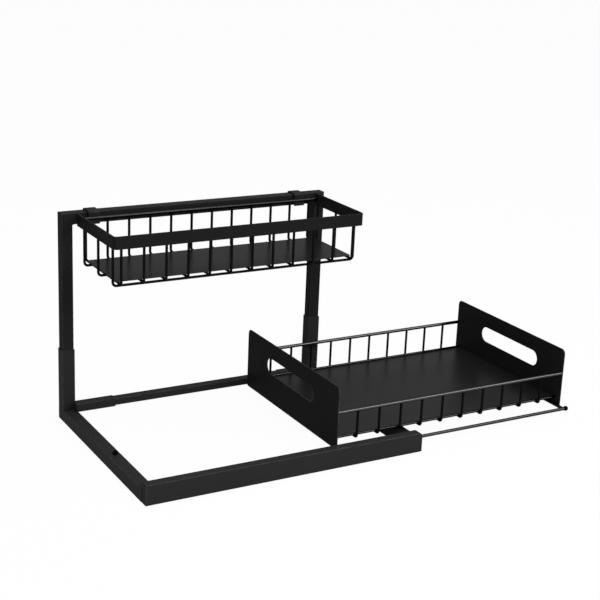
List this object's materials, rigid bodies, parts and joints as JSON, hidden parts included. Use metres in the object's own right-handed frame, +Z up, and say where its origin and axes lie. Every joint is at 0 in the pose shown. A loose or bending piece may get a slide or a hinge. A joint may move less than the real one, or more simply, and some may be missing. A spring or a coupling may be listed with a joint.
{
  "type": "under sink organizer",
  "caption": "Black under-sink organizer: a square-tube frame carries a hooked-on wire basket above and a pull-out wire drawer with slotted end plates on rods below.",
  "frame": {"origin": "on the floor under the middle of the whole as pictured, with the drawer pulled out", "axes": "+X is the way the drawer pulls out and the long side, +Y runs from the front rail to the posts at the back, +Z is up"},
  "size_m": [0.6631, 0.31, 0.3001],
  "materials": {
    "black_powder_coat": "semi-gloss black powder coat on steel",
    "black_plastic": "satin black moulded plastic",
    "runner_steel": "drawn steel rod, dull grey"
  },
  "bodies": {
    "frame": {"left_cross_bar": "black_powder_coat", "left_cross_bar_plug": "black_plastic", "left_post_sleeve": "black_powder_coat", "left_upper_post": "black_powder_coat", "right_cross_bar": "black_powder_coat", "right_cross_bar_plug": "black_plastic", "right_post_sleeve": "black_powder_coat", "right_upper_post": "black_powder_coat", "top_bar": "black_powder_coat", "front_rail": "black_powder_coat", "front_rail_plug": "black_plastic", "front_rail_guide_cap": "black_plastic", "rear_rail": "black_powder_coat", "left_rear_rail_socket": "black_powder_coat", "right_rear_rail_socket": "black_powder_coat"},
    "basket": {"upper_basket_rim": "black_powder_coat", "upper_basket_rear_wire": "black_powder_coat", "upper_basket_cross_wire_01": "black_powder_coat", "upper_basket_cross_wire_02": "black_powder_coat", "upper_basket_cross_wire_03": "black_powder_coat", "upper_basket_cross_wire_04": "black_powder_coat", "upper_basket_cross_wire_05": "black_powder_coat", "upper_basket_cross_wire_06": "black_powder_coat", "upper_basket_cross_wire_07": "black_powder_coat", "upper_basket_cross_wire_08": "black_powder_coat", "upper_basket_cross_wire_09": "black_powder_coat", "upper_basket_cross_wire_10": "black_powder_coat", "upper_basket_cross_wire_11": "black_powder_coat", "upper_basket_cross_wire_12": "black_powder_coat", "upper_basket_long_wire_1": "black_powder_coat", "upper_basket_long_wire_2": "black_powder_coat", "upper_basket_long_wire_3": "black_powder_coat", "upper_basket_floor": "black_powder_coat", "left_hook": "black_powder_coat", "right_hook": "black_powder_coat"},
    "drawer": {"drawer_left_plate": "black_powder_coat", "drawer_right_plate": "black_powder_coat", "drawer_front_top_wire": "black_powder_coat", "drawer_front_base_wire": "black_powder_coat", "drawer_rear_top_wire": "black_powder_coat", "drawer_rear_base_wire": "black_powder_coat", "drawer_cross_wire_01": "black_powder_coat", "drawer_cross_wire_02": "black_powder_coat", "drawer_cross_wire_03": "black_powder_coat", "drawer_cross_wire_04": "black_powder_coat", "drawer_cross_wire_05": "black_powder_coat", "drawer_cross_wire_06": "black_powder_coat", "drawer_cross_wire_07": "black_powder_coat", "drawer_cross_wire_08": "black_powder_coat", "drawer_cross_wire_09": "black_powder_coat", "drawer_cross_wire_10": "black_powder_coat", "drawer_floor": "black_powder_coat", "drawer_cross_rod": "runner_steel", "front_runner_rod": "runner_steel", "front_ball_cap": "black_plastic", "front_runner_block": "black_plastic", "rear_runner_rod": "runner_steel", "rear_ball_cap": "black_plastic", "rear_runner_block": "black_plastic"}
  },
  "joints": [
    {"name": "drawer_slide", "type": "slide", "parent": "frame", "child": "drawer", "axis": [1, 0, 0], "range_m": [-0.244, 0.06]},
    {"name": "basket_lift", "type": "slide", "parent": "frame", "child": "basket", "axis": [0, 0, 1], "range_m": [0, 0.03]}
  ]
}
